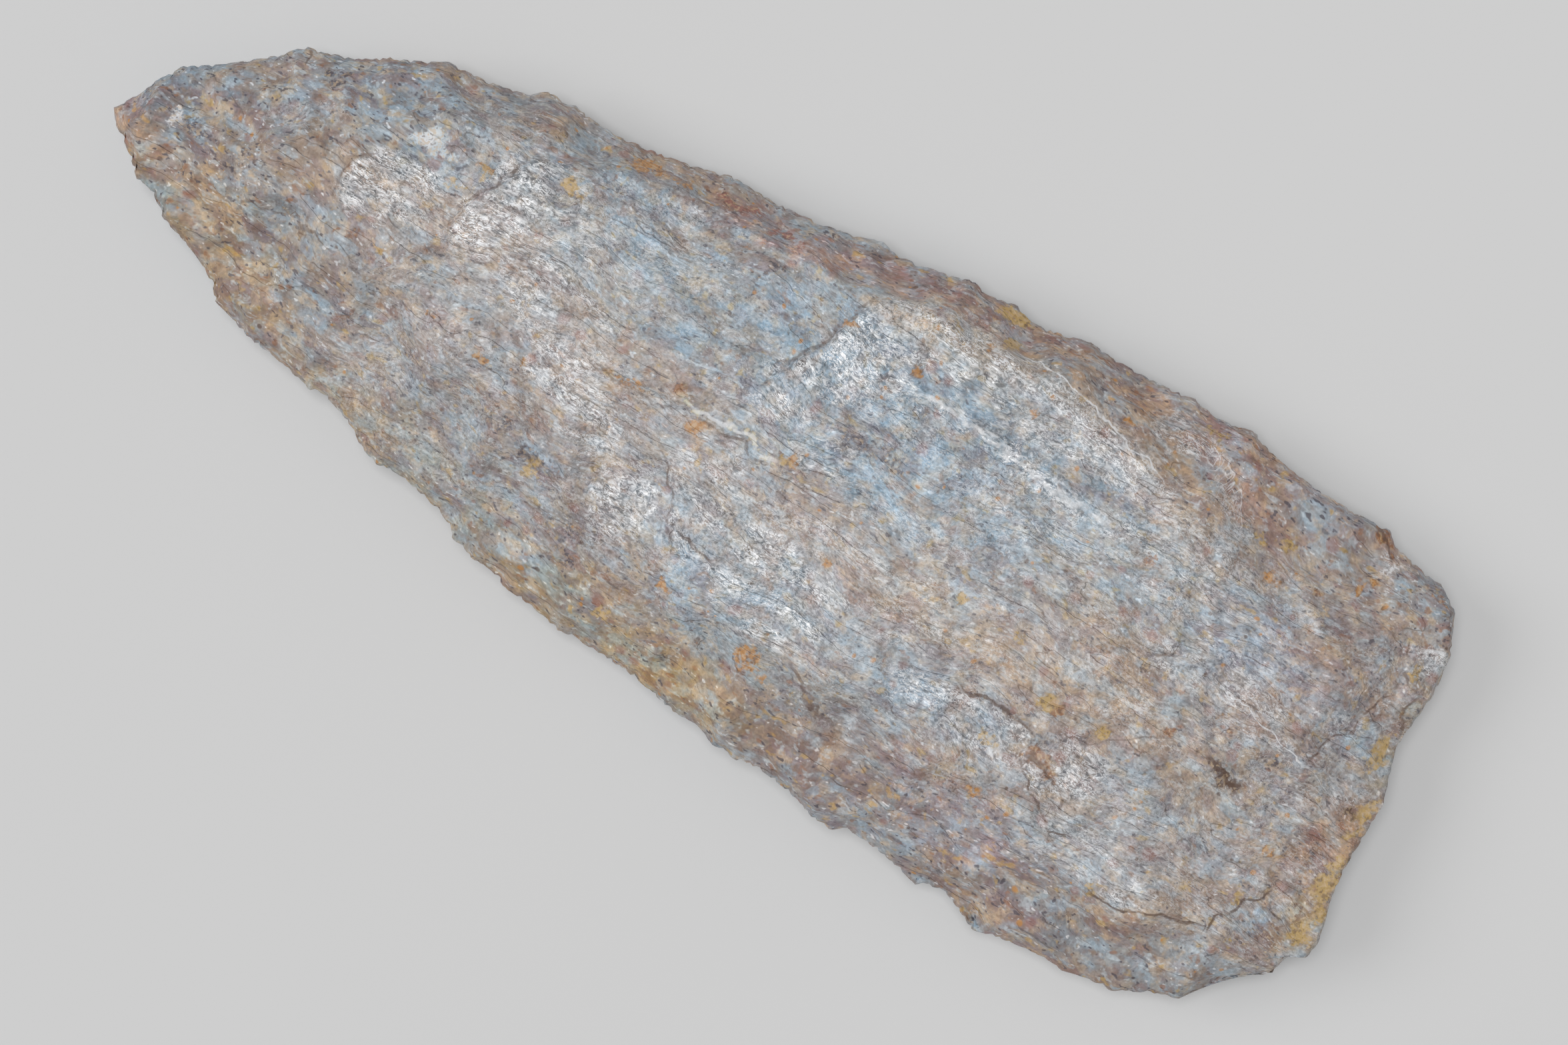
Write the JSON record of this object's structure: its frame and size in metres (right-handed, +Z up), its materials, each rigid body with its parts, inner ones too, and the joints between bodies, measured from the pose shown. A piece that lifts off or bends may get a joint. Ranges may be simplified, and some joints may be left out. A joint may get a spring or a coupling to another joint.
{
  "type": "stone knife blade",
  "caption": "Flaked stone knife blade, leaf-shaped with a pointed tip, two chipped cutting edges and a blunt snapped butt.",
  "frame": {"origin": "under the middle of the blade, on the plane that it lies on", "axes": "+X along the length from the tip towards the butt, +Z up out of the more strongly ridged face, +Y across the blade"},
  "size_m": [0.0912, 0.0358, 0.0095],
  "materials": {
    "speckled_stone": "knapped quartzite-like stone, speckled pinkish and bluish grey, matt with fine glitter on the fresh-looking scars"
  },
  "bodies": {
    "root": {"blade": "speckled_stone"}
  },
  "joints": []
}
